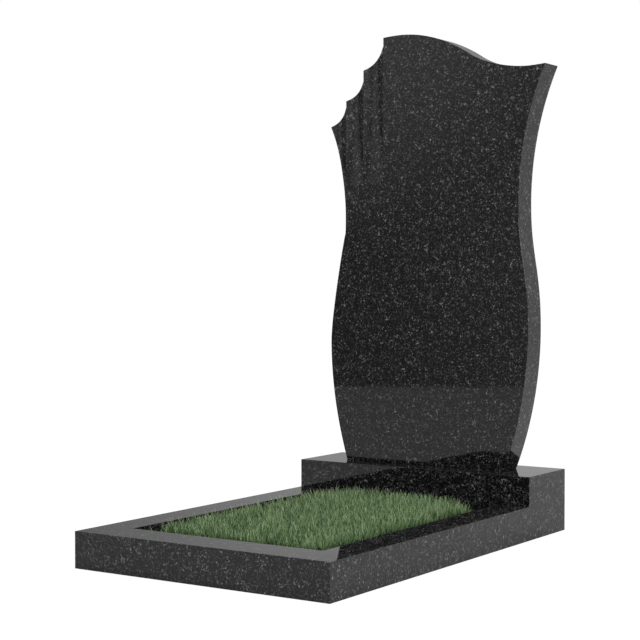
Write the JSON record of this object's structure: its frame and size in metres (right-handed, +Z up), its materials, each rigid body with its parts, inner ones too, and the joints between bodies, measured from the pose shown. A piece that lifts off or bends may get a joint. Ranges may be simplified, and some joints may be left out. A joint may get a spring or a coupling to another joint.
{
  "type": "granite headstone with pedestal, kerb and planted bed",
  "caption": "Polished black granite headstone with a curved, scalloped and fluted stele on a pedestal, and a mitred kerb around a grass bed.",
  "frame": {"origin": "centre of the plot on the ground, under the middle of the kerb and pedestal together", "axes": "+X across the grave to the right as seen from its foot, +Y from the foot of the grave towards the stele, +Z up; the carved face looks along -Y"},
  "size_m": [0.656, 1.045, 1.224],
  "materials": {
    "polished_granite": "polished",
    "turf": "matte"
  },
  "bodies": {
    "root": {"stele": "polished_granite", "pedestal": "polished_granite", "front_kerb": "polished_granite", "left_kerb": "polished_granite", "right_kerb": "polished_granite", "turf": "turf"}
  },
  "joints": []
}
